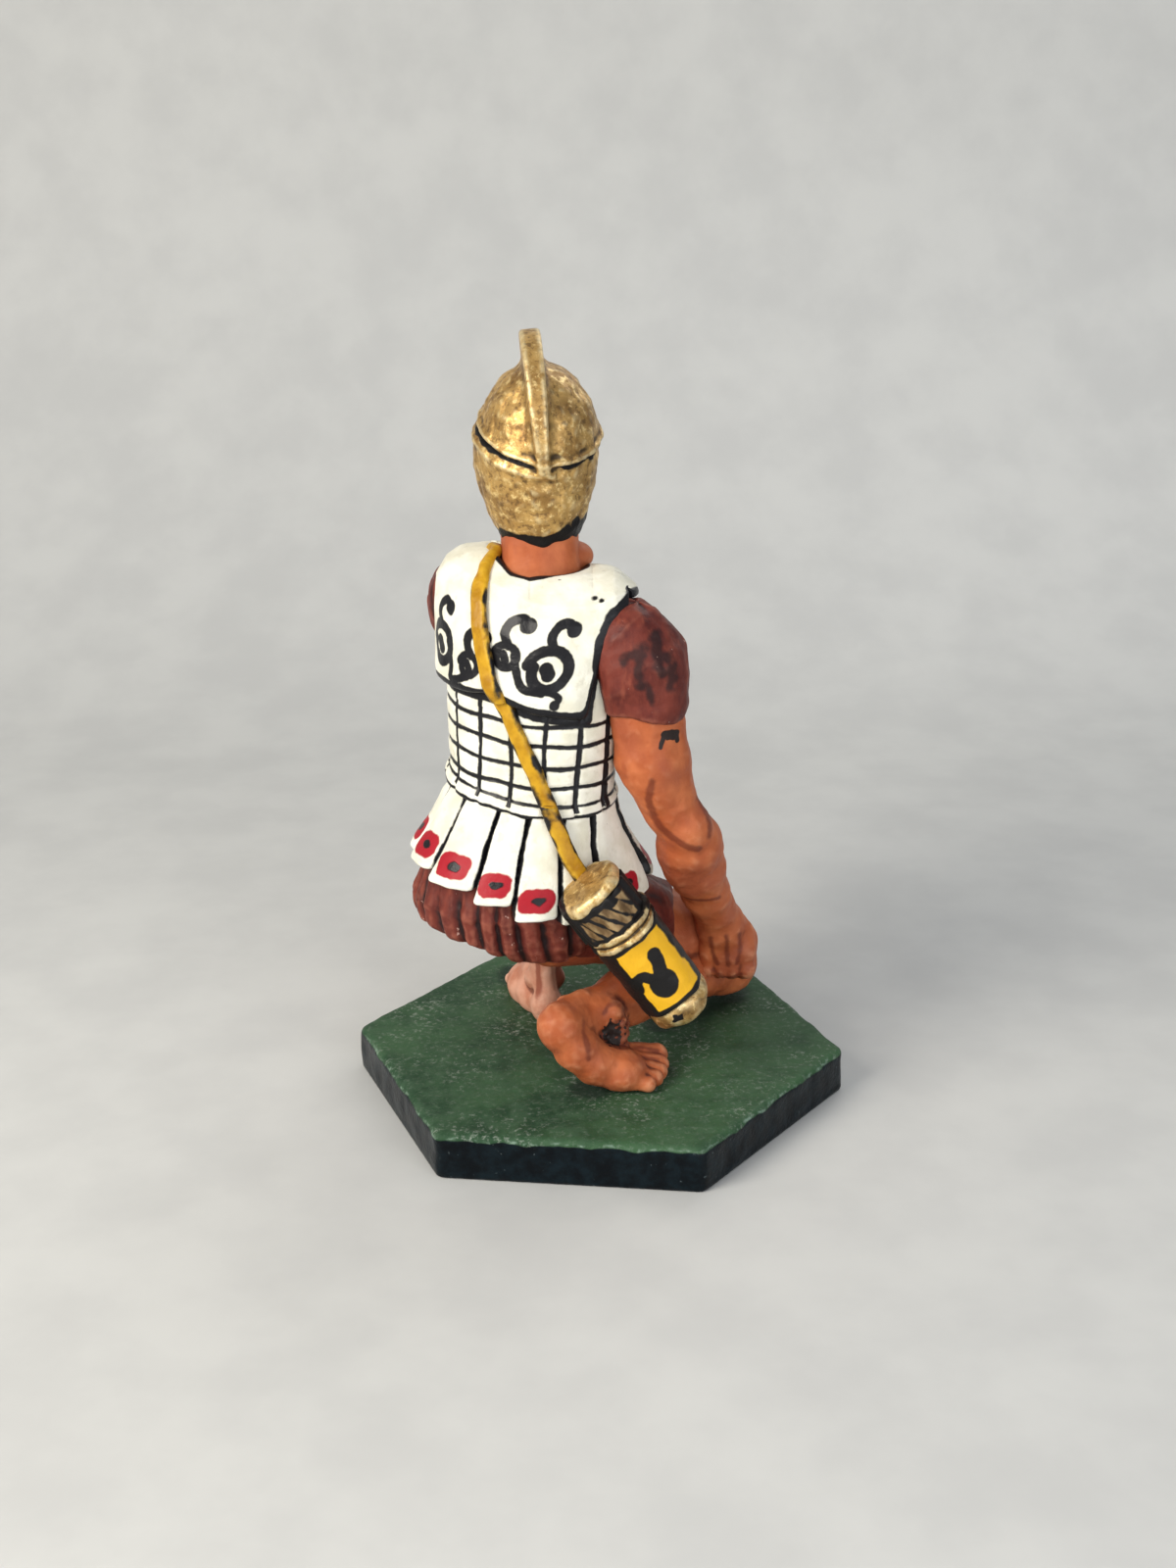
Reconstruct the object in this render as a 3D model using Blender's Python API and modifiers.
"""Kneeling archer, a painted 54 mm metal miniature on a hexagonal gaming base.

Lengths below are in millimetres and are scaled to metres as the meshes are made. The origin is the
centre of the base's underside, +Z is up, and the archer's bow arm points to +Y.
"""

import math

import bmesh
import bpy
from mathutils import Matrix, Vector

MM = 0.001

# Base: a one inch hexagon, turned a little about Z.
BASE_ACROSS_FLATS = 25.4
BASE_THICKNESS = 2.7
BASE_TURN = -7.6
BASE_EDGE = 0.3

GAP = 0.06  # clearance between neighbouring pieces
CUTTER_SIZE = 30.0
SIDES = 24  # facets round a lofted piece
LIMB_ROUND = 2  # bevel resolution of a limb
CHEST_TURN = 36.0  # the chest faces this far to the right of +Y
HIP_TURN = 20.0
HEAD_TURN = -8.0
HEAD_TILT = 8.0  # the head leans back
BRIM_TILT = 22.0  # the helmet's brim is lower at the back

# Joints of the skeleton.
GROUND = BASE_THICKNESS
NECK_BASE = (-2.65, -0.1, 30.2)
HEAD = (-2.7, 1.0, 37.6)
BRIM = (-2.9, 0.9, 39.2)  # middle of the line between the helmet's bowl and its lower part
RIGHT_ELBOW = (5.0, -3.4, 17.4)
RIGHT_WRIST = (6.7, 1.0, 11.0)
RIGHT_KNUCKLES = (7.8, 2.7, 8.0)
LEFT_SHOULDER = (-7.0, 2.9, 28.5)
LEFT_ELBOW = (-6.8, 10.4, 25.2)
LEFT_WRIST = (-4.2, 14.2, 26.0)
BOW_GRIP = (-2.9, 15.3, 26.2)
RIGHT_HIP = (-2.4, -1.6, 10.8)
RIGHT_KNEE = (7.5, 5.6, 5.0)
RIGHT_ANKLE = (-1.3, -6.0, 7.1)
LEFT_HIP = (-5.6, 0.6, 12.2)
LEFT_KNEE = (-4.3, 8.8, 16.6)
LEFT_ANKLE = (-3.2, 3.2, 5.6)
QUIVER_TOP = (-0.4, -7.7, 15.8)
QUIVER_FOOT = (5.2, -6.1, 7.1)

# Which way a cutting block's face looks.
UP = (0.0, 0.0, 1.0)
DOWN = (0.0, 0.0, -1.0)
FRONT = (0.0, 1.0, 0.0)
BACK = (0.0, -1.0, 0.0)

# Rings of the trunk, each (height, x, y, half width, half depth, turn), from the bottom up.
SKIRT_RINGS = [
    (9.6, -4.6, -0.9, 4.9, 4.3, HIP_TURN),
    (11.0, -4.8, -1.0, 5.7, 5.0, HIP_TURN),
    (12.8, -4.7, -1.1, 5.9, 5.2, HIP_TURN),
    (15.2, -4.3, -1.3, 5.1, 4.5, HIP_TURN),
]
PTERUGES_RINGS = [
    (13.2, -4.5, -1.1, 6.5, 5.8, HIP_TURN),
    (14.6, -4.4, -1.2, 6.3, 5.5, HIP_TURN),
    (17.0, -4.0, -1.4, 5.4, 4.5, 26.0),
    (19.1, -3.6, -1.5, 4.9, 3.9, 30.0),
]
CUIRASS_RINGS = [
    (19.2, -3.6, -1.5, 4.8, 3.8, 30.0),
    (21.0, -3.5, -1.3, 4.9, 3.8, 32.0),
    (24.0, -3.4, -0.9, 5.2, 3.9, CHEST_TURN),
    (27.0, -3.2, -0.5, 5.4, 4.0, CHEST_TURN),
    (29.2, -3.0, -0.2, 5.4, 3.6, CHEST_TURN),
    (30.6, -2.8, 0.0, 4.6, 2.7, CHEST_TURN),
]
YOKE_RINGS = [
    (23.7, -3.6, -0.9, 5.6, 4.4, CHEST_TURN),
    (26.0, -3.4, -0.6, 5.9, 4.6, CHEST_TURN),
    (28.4, -3.1, -0.3, 6.3, 4.5, CHEST_TURN),
    (30.3, -2.9, 0.0, 6.3, 3.9, CHEST_TURN),
    (31.3, -2.8, 0.1, 5.2, 3.0, CHEST_TURN),
]


# The baldric's line on the trunk, each (height, angle), and its point on top of the left shoulder.
BALDRIC_RADIUS = 0.36
BALDRIC_TOP = (-5.6, 0.1, 31.9)
BALDRIC_BACK = [
    (16.6, -41), (18.2, -47), (19.8, -54), (21.4, -61), (23.0, -69),
    (24.6, -76), (26.2, -84), (27.6, -90), (29.0, -95), (30.2, -99), (31.25, -104),
]
BALDRIC_FRONT = [
    (31.25, 121), (30.3, 116), (29.0, 108), (27.5, 99), (26.0, 90), (24.5, 81),
    (23.0, 72), (21.4, 64), (19.9, 57), (19.3, 54),
]


def clear_scene():
    for old in list(bpy.data.objects):
        bpy.data.objects.remove(old, do_unlink=True)


def new_collection(name):
    made = bpy.data.collections.new(name)
    bpy.context.scene.collection.children.link(made)
    return made


clear_scene()
PARTS = new_collection("kneeling_archer")
CUTTERS = new_collection("cutters")


def paint(name, colour, roughness=0.5, metallic=0.0):
    """A painted surface."""
    made = bpy.data.materials.new(name)
    made.use_nodes = True
    shader = made.node_tree.nodes["Principled BSDF"]
    shader.inputs["Base Color"].default_value = (*colour, 1.0)
    shader.inputs["Roughness"].default_value = roughness
    shader.inputs["Metallic"].default_value = metallic
    return made


GREEN = paint("base_green", (0.03, 0.11, 0.05), 0.45)
FLESH = paint("flesh", (0.62, 0.22, 0.10), 0.5)
WHITE = paint("cloth_white", (0.80, 0.79, 0.72), 0.5)
RUST = paint("tunic_rust", (0.27, 0.06, 0.04), 0.5)
GOLD = paint("helmet_gold", (0.55, 0.36, 0.12), 0.35, 0.8)
YELLOW = paint("strap_yellow", (0.70, 0.42, 0.02), 0.45)
WOOD = paint("bow_brown", (0.16, 0.07, 0.03), 0.5)


def metres(point):
    return Vector(point) * MM


def blend(a, b, share):
    return tuple(Vector(a).lerp(Vector(b), share))


def finish(name, mesh, colour):
    """Links a mesh as one named piece with its own copy of a paint."""
    piece = bpy.data.objects.new(name, mesh)
    PARTS.objects.link(piece)
    own = colour.copy()
    own.name = name + "_paint"
    mesh.materials.clear()
    mesh.materials.append(own)
    mesh.shade_smooth()
    mesh.set_sharp_from_angle(angle=math.radians(50))
    return piece


def mesh_from_curve(source):
    """The mesh of a filled, bevelled curve, with its caps welded on."""
    bpy.context.view_layer.update()
    seen = source.evaluated_get(bpy.context.evaluated_depsgraph_get())
    mesh = bpy.data.meshes.new_from_object(seen)
    bpy.data.objects.remove(source, do_unlink=True)
    shape = bmesh.new()
    shape.from_mesh(mesh)
    bmesh.ops.remove_doubles(shape, verts=shape.verts, dist=0.001 * MM)
    bmesh.ops.recalc_face_normals(shape, faces=shape.faces)
    shape.to_mesh(mesh)
    shape.free()
    return mesh


def limb(name, joints, colour, round_sides=LIMB_ROUND, steps=3):
    """A round limb through (x, y, z, radius) joints, tapering smoothly between them."""
    data = bpy.data.curves.new(name, "CURVE")
    data.dimensions = "3D"
    data.bevel_depth = MM
    data.bevel_resolution = round_sides
    data.resolution_u = steps
    data.use_fill_caps = True
    line = data.splines.new("BEZIER")
    line.bezier_points.add(len(joints) - 1)
    for point, (x, y, z, radius) in zip(line.bezier_points, joints):
        point.co = metres((x, y, z))
        point.handle_left_type = "AUTO"
        point.handle_right_type = "AUTO"
        point.radius = radius
    source = bpy.data.objects.new(name, data)
    PARTS.objects.link(source)
    return finish(name, mesh_from_curve(source), colour)


def ring_point(ring, angle, offset=0.0):
    """A point on a trunk ring. Angle 0 is the chest's right, 90 degrees its front, -90 its back."""
    height, x, y, half_width, half_depth, turn = ring
    flat = Vector((
        (half_width + offset) * math.cos(angle),
        (half_depth + offset) * math.sin(angle),
        0.0,
    ))
    flat.rotate(Matrix.Rotation(-math.radians(turn), 3, "Z"))
    return flat + Vector((x, y, height))


def trunk_point(height, angle, lift):
    """A point on the dressed trunk, lifted off its surface."""
    rings = PTERUGES_RINGS
    for upper in (CUIRASS_RINGS, YOKE_RINGS):
        if height >= upper[0][0]:
            rings = upper
    for low, high in zip(rings, rings[1:]):
        if height <= high[0]:
            share = (height - low[0]) / (high[0] - low[0])
            ring = [a + (b - a) * share for a, b in zip(low, high)]
            return ring_point(ring, math.radians(angle), lift)
    raise ValueError("no ring at that height")


def loft(name, rings, colour, sides=SIDES, wave=0.0, waves=0):
    """A closed solid through trunk rings, its sides fluted by a wave if one is given."""
    shape = bmesh.new()
    rows = []
    for ring in rings:
        row = []
        for k in range(sides):
            angle = math.tau * k / sides
            flute = wave * math.cos(waves * angle)
            row.append(shape.verts.new(ring_point(ring, angle, flute) * MM))
        rows.append(row)
    for low, high in zip(rows, rows[1:]):
        for k in range(sides):
            after = (k + 1) % sides
            shape.faces.new((low[k], low[after], high[after], high[k]))
    shape.faces.new(list(reversed(rows[0])))
    shape.faces.new(rows[-1])
    mesh = bpy.data.meshes.new(name)
    shape.to_mesh(mesh)
    shape.free()
    return finish(name, mesh, colour)


def ellipsoid(name, centre, radii, colour, turn=0.0, tilt=0.0, segments=24, rings=14):
    """A ball stretched to three radii, turned about Z and tilted about its own X."""
    shape = bmesh.new()
    bmesh.ops.create_uvsphere(shape, u_segments=segments, v_segments=rings, radius=1.0)
    place = (
        Matrix.Translation(metres(centre))
        @ Matrix.Rotation(-math.radians(turn), 4, "Z")
        @ Matrix.Rotation(math.radians(tilt), 4, "X")
        @ Matrix.Diagonal((*metres(radii), 1.0))
    )
    bmesh.ops.transform(shape, matrix=place, verts=shape.verts)
    mesh = bpy.data.meshes.new(name)
    shape.to_mesh(mesh)
    shape.free()
    return finish(name, mesh, colour)


def cutter_block(name, point, side, turn=0.0, tilt=0.0):
    """A cube that only cuts. Its face through the point looks the way side says before the turns."""
    shape = bmesh.new()
    bmesh.ops.create_cube(shape, size=CUTTER_SIZE * MM)
    place = (
        Matrix.Translation(metres(point))
        @ Matrix.Rotation(-math.radians(turn), 4, "Z")
        @ Matrix.Rotation(math.radians(tilt), 4, "X")
        @ Matrix.Translation(metres(side) * (-CUTTER_SIZE / 2.0))
    )
    bmesh.ops.transform(shape, matrix=place, verts=shape.verts)
    mesh = bpy.data.meshes.new(name)
    shape.to_mesh(mesh)
    shape.free()
    return make_cutter(bpy.data.objects.new(name, mesh))


def make_cutter(block):
    CUTTERS.objects.link(block)
    block.hide_render = True
    block.display_type = "WIRE"
    return block


def boolean(piece, cutter, operation="DIFFERENCE"):
    step = piece.modifiers.new(cutter.name, "BOOLEAN")
    step.operation = operation
    step.solver = "EXACT"
    step.object = cutter


def fattened(piece, gap=GAP):
    """A cutter a little larger all round than an untrimmed piece."""
    name = piece.name + "_clearance"
    if name in CUTTERS.objects:
        return CUTTERS.objects[name]
    block = make_cutter(bpy.data.objects.new(name, piece.data.copy()))
    swell = block.modifiers.new("swell", "DISPLACE")
    swell.strength = gap * MM
    swell.mid_level = 0.0
    return block


def trim(piece, *neighbours):
    """Cuts a piece back from its neighbours, leaving the clearance."""
    for neighbour in neighbours:
        boolean(piece, fattened(neighbour))


def base_plate():
    shape = bmesh.new()
    radius = BASE_ACROSS_FLATS / math.sqrt(3.0)
    bmesh.ops.create_cone(
        shape,
        cap_ends=True,
        segments=6,
        radius1=radius * MM,
        radius2=radius * MM,
        depth=BASE_THICKNESS * MM,
    )
    # The cone's first corner lies on +Y, and the base's on +X.
    place = Matrix.Translation(metres((0, 0, BASE_THICKNESS / 2))) @ Matrix.Rotation(
        math.radians(BASE_TURN + 30.0), 4, "Z"
    )
    bmesh.ops.transform(shape, matrix=place, verts=shape.verts)
    mesh = bpy.data.meshes.new("hex_base")
    shape.to_mesh(mesh)
    shape.free()
    piece = finish("hex_base", mesh, GREEN)
    edge = piece.modifiers.new("edge", "BEVEL")
    edge.width = BASE_EDGE * MM
    edge.segments = 2
    edge.limit_method = "ANGLE"
    return piece


def legs(base):
    """Both feet, shins and thighs. The right knee is down, and the right toes are tucked."""
    right_foot = limb("right_foot", [
        (-2.4, -7.3, 8.0, 0.6),
        (-2.0, -7.2, 7.0, 1.35),
        (-0.9, -6.8, 5.2, 1.4),
        (0.6, -6.4, 4.1, 1.4),
        (2.3, -5.7, 3.8, 1.05),
        (3.2, -5.3, 3.7, 0.5),
    ], FLESH)
    trim(right_foot, base)
    right_shin = limb("right_shin", [
        (*blend(RIGHT_ANKLE, RIGHT_KNEE, -0.02), 1.0),
        (*blend(RIGHT_ANKLE, RIGHT_KNEE, 0.15), 1.25),
        (1.6, -2.6, 6.7, 1.7),
        (4.6, 1.6, 5.9, 1.6),
        (*RIGHT_KNEE, 1.8),
        (8.3, 6.6, 4.8, 1.2),
    ], FLESH)
    trim(right_shin, base, right_foot)
    right_thigh = limb("right_thigh", [
        (*RIGHT_HIP, 2.5),
        (1.6, 1.2, 9.8, 2.6),
        (4.8, 4.0, 8.2, 2.2),
        (7.2, 5.9, 6.9, 1.5),
    ], FLESH)
    trim(right_thigh, right_shin)
    left_foot = limb("left_foot", [
        (-2.9, 1.4, 3.9, 0.6),
        (-3.1, 2.4, 3.8, 1.05),
        (-3.6, 4.4, 3.9, 1.15),
        (-4.4, 6.7, 3.6, 1.2),
        (-4.9, 8.2, 3.3, 0.7),
    ], FLESH)
    trim(left_foot, base)
    left_shin = limb("left_shin", [
        (*blend(LEFT_ANKLE, LEFT_KNEE, -0.12), 1.05),
        (-3.2, 4.0, 7.2, 1.15),
        (-3.4, 5.8, 10.8, 1.85),
        (-4.0, 7.8, 14.4, 1.6),
        (*LEFT_KNEE, 1.75),
        (-4.4, 9.2, 17.5, 1.2),
    ], FLESH)
    trim(left_shin, left_foot)
    left_thigh = limb("left_thigh", [
        (*LEFT_HIP, 2.6),
        (-5.4, 3.8, 14.3, 2.5),
        (-4.9, 6.6, 16.2, 2.1),
        (-4.5, 8.6, 17.4, 1.4),
    ], FLESH)
    trim(left_thigh, left_shin)
    return right_foot, right_shin, right_thigh, left_foot, left_shin, left_thigh


def trunk():
    """Tunic skirt, pteruges, cuirass and shoulder yoke."""
    skirt = loft("tunic_skirt", SKIRT_RINGS, RUST, sides=48, wave=0.16, waves=16)
    pteruges = loft("pteruges", PTERUGES_RINGS, WHITE, sides=48, wave=0.08, waves=16)
    trim(pteruges, skirt)
    cuirass = loft("cuirass", CUIRASS_RINGS, WHITE)
    yoke = loft("shoulder_yoke", YOKE_RINGS, WHITE)
    trim(yoke, cuirass)
    return skirt, pteruges, cuirass, yoke


def head_and_helmet(cuirass, yoke):
    """Neck, head, and the helmet's bowl, neck guard, cheek guards and crest."""
    neck = limb("neck", [
        (*NECK_BASE, 2.4),
        (-2.6, 0.2, 32.5, 2.3),
        (-2.65, 0.6, 35.2, 2.3),
    ], FLESH, round_sides=4)
    trim(neck, cuirass)
    trim(yoke, neck)
    head = ellipsoid("head", HEAD, (2.65, 3.2, 3.7), FLESH, HEAD_TURN, HEAD_TILT)
    trim(head, neck)
    bowl = ellipsoid("helmet_bowl", (-2.7, 0.9, 38.4), (3.35, 4.0, 4.2), GOLD, HEAD_TURN, HEAD_TILT)
    boolean(bowl, cutter_block("below_brim", BRIM, UP, HEAD_TURN, BRIM_TILT))
    trim(bowl, head)
    guard = ellipsoid("neck_guard", (-2.7, 0.8, 37.6), (3.15, 3.8, 5.6), GOLD, HEAD_TURN, HEAD_TILT)
    below_brim = Vector(BRIM) - Vector((0.0, 0.0, 2.0 * GAP))
    boolean(guard, cutter_block("above_guard", below_brim, DOWN, HEAD_TURN, BRIM_TILT))
    boolean(guard, cutter_block("guard_front", (-2.7, 0.9, 38.0), BACK, HEAD_TURN, -20.0))
    trim(guard, head, neck)
    crest = crest_fin()
    trim(crest, bowl)
    for name, side in (("left_cheek_guard", -1.0), ("right_cheek_guard", 1.0)):
        cheek_guard(name, side, below_brim, head, neck)
    return neck


def cheek_guard(name, side, brim, head, neck):
    """A plate over one cheek, between the neck guard and the open face."""
    plate = ellipsoid(name, (-2.7, 0.8, 37.6), (3.15, 3.8, 5.3), GOLD, HEAD_TURN, HEAD_TILT)
    boolean(plate, cutter_block(name + "_top", brim, DOWN, HEAD_TURN, BRIM_TILT))
    boolean(plate, cutter_block(name + "_back", (-2.7, 1.1, 38.0), FRONT, HEAD_TURN, -20.0))
    inner = (-2.7 + side * 1.5, 1.1, 38.0)
    boolean(plate, cutter_block(name + "_inner", inner, (side, 0.0, 0.0), HEAD_TURN))
    boolean(plate, cutter_block(name + "_foot", (-2.7, 0.9, 33.4), UP, HEAD_TURN, 15.0))
    trim(plate, head, neck)


def crest_fin():
    """A thin fin along the helmet's middle, cut from a disc."""
    shape = bmesh.new()
    bmesh.ops.create_cone(
        shape,
        cap_ends=True,
        segments=40,
        radius1=1.0,
        radius2=1.0,
        depth=1.0,
    )
    place = (
        Matrix.Translation(metres((-2.75, 1.0, 38.9)))
        @ Matrix.Rotation(-math.radians(HEAD_TURN), 4, "Z")
        @ Matrix.Rotation(math.radians(90.0), 4, "Y")
        @ Matrix.Diagonal((5.4 * MM, 4.7 * MM, 0.95 * MM, 1.0))
    )
    bmesh.ops.transform(shape, matrix=place, verts=shape.verts)
    mesh = bpy.data.meshes.new("helmet_crest")
    shape.to_mesh(mesh)
    shape.free()
    piece = finish("helmet_crest", mesh, GOLD)
    boolean(piece, cutter_block("crest_end", (-2.9, 0.9, 39.3), UP, HEAD_TURN, BRIM_TILT))
    return piece


def right_arm(cuirass, yoke, shin, thigh):
    """Sleeve, upper arm, forearm and fist. The fist rests on the right knee."""
    sleeve = limb("right_sleeve", [
        (1.0, -2.8, 29.8, 1.2),
        (1.9, -3.2, 28.6, 2.1),
        (2.5, -3.5, 27.0, 2.4),
        (2.7, -3.6, 24.7, 2.25),
    ], RUST)
    trim(sleeve, cuirass, yoke)
    upper = limb("right_upper_arm", [
        (2.7, -3.6, 24.8, 1.9),
        (3.0, -3.6, 22.4, 1.95),
        (4.1, -3.5, 18.8, 1.85),
        (*RIGHT_ELBOW, 1.6),
    ], FLESH)
    trim(upper, sleeve, cuirass, yoke)
    forearm = limb("right_forearm", [
        (4.9, -3.7, 18.2, 1.2),
        (5.2, -3.2, 16.6, 1.7),
        (5.8, -1.4, 14.0, 1.7),
        (*RIGHT_WRIST, 1.15),
    ], FLESH)
    trim(forearm, upper)
    hand = limb("right_hand", [
        (*blend(RIGHT_WRIST, RIGHT_KNUCKLES, 0.1), 1.2),
        (7.1, 1.8, 10.1, 1.5),
        (*RIGHT_KNUCKLES, 1.75),
        (7.9, 3.1, 7.3, 1.5),
        (7.8, 3.0, 6.2, 0.8),
    ], FLESH)
    trim(hand, forearm, shin)
    trim(thigh, hand)
    return sleeve, upper, forearm, hand


def left_arm(cuirass, yoke):
    """The bow arm, held out in front."""
    sleeve = limb("left_sleeve", [
        (-6.4, 2.1, 29.4, 1.2),
        (*LEFT_SHOULDER, 2.0),
        (-7.1, 4.9, 27.9, 2.2),
        (-7.1, 6.8, 27.0, 2.0),
    ], RUST)
    trim(sleeve, cuirass, yoke)
    upper = limb("left_upper_arm", [
        (-7.1, 6.2, 27.3, 1.65),
        (-7.0, 8.6, 26.1, 1.7),
        (*LEFT_ELBOW, 1.5),
    ], FLESH)
    trim(upper, sleeve)
    forearm = limb("left_forearm", [
        (-7.1, 10.6, 24.9, 1.1),
        (-6.3, 11.5, 25.2, 1.55),
        (-5.0, 12.8, 25.6, 1.4),
        (*LEFT_WRIST, 1.05),
    ], FLESH)
    trim(forearm, upper)
    return sleeve, upper, forearm


def bow():
    """The stave in three pieces: grip, upper limb and lower limb."""
    x, y, z = BOW_GRIP
    grip = limb("bow_grip", [(x, y, z - 2.6, 0.55), (x, y + 0.1, z, 0.6), (x, y, z + 2.6, 0.55)], WOOD)
    made = [grip]
    for name, side in (("bow_upper_limb", 1.0), ("bow_lower_limb", -1.0)):
        limb_points = [
            (x, y - 0.01, z + side * 2.7, 0.55),
            (x, y - 0.3, z + side * 5.5, 0.55),
            (x, y - 1.2, z + side * 8.6, 0.5),
            (x, y - 2.8, z + side * 11.2, 0.42),
            (x, y - 4.6, z + side * 13.0, 0.3),
        ]
        made.append(limb(name, limb_points, WOOD))
    return made


def left_hand(forearm, grip):
    hand = limb("left_hand", [
        (*LEFT_WRIST, 1.1),
        (-2.6, 14.9, 26.1, 1.45),
        (-1.9, 15.4, 26.2, 1.5),
        (-1.3, 15.7, 26.2, 1.0),
    ], FLESH)
    trim(hand, forearm, grip)
    return hand


def baldric(yoke, cuirass, pteruges, neck):
    """The strap's two runs, which meet on the left shoulder."""
    lift = BALDRIC_RADIUS + 0.1
    back = [trunk_point(height, angle, lift) for height, angle in BALDRIC_BACK]
    front = [trunk_point(height, angle, lift) for height, angle in BALDRIC_FRONT]
    shoulder = Vector(BALDRIC_TOP)
    seam = Vector((0.05, 0.4, 0.0))
    for name, run in (
        ("baldric_back", [*back, shoulder - seam]),
        ("baldric_front", [shoulder + seam, *front]),
    ):
        joints = [(*point, BALDRIC_RADIUS) for point in run]
        strap = limb(name, joints, YELLOW, steps=2)
        trim(strap, yoke, cuirass, pteruges, neck)


def quiver(skirt, pteruges):
    """The quiver's cap, arrows, ring, case and foot, in line down its axis."""
    top = Vector(QUIVER_TOP)
    foot = Vector(QUIVER_FOOT)
    turned = [
        ("quiver_cap", 0.00, 0.07, [1.8, 1.95], GOLD),
        ("quiver_arrows", 0.08, 0.24, [1.85, 1.85], WOOD),
        ("quiver_ring", 0.25, 0.34, [1.95, 1.95], GOLD),
        ("quiver_case", 0.35, 0.80, [1.85, 1.75], YELLOW),
        ("quiver_foot", 0.81, 1.00, [1.8, 1.7, 1.1], GOLD),
    ]
    made = []
    for name, start, end, radii, colour in turned:
        joints = []
        for k, radius in enumerate(radii):
            place = top.lerp(foot, start + (end - start) * k / (len(radii) - 1))
            joints.append((*place, radius))
        piece = limb(name, joints, colour, round_sides=3, steps=2)
        trim(piece, skirt, pteruges)
        made.append(piece)
    return made


def build():
    base = base_plate()
    right_foot, right_shin, right_thigh, left_foot, left_shin, left_thigh = legs(base)
    skirt, pteruges, cuirass, yoke = trunk()
    trim(right_thigh, skirt, pteruges)
    trim(left_thigh, skirt, pteruges)
    trim(right_shin, skirt)
    trim(left_shin, skirt)
    neck = head_and_helmet(cuirass, yoke)
    right_arm(cuirass, yoke, right_shin, right_thigh)
    sleeve, upper, forearm = left_arm(cuirass, yoke)
    grip = bow()[0]
    left_hand(forearm, grip)
    quiver(skirt, pteruges)
    baldric(yoke, cuirass, pteruges, neck)


build()
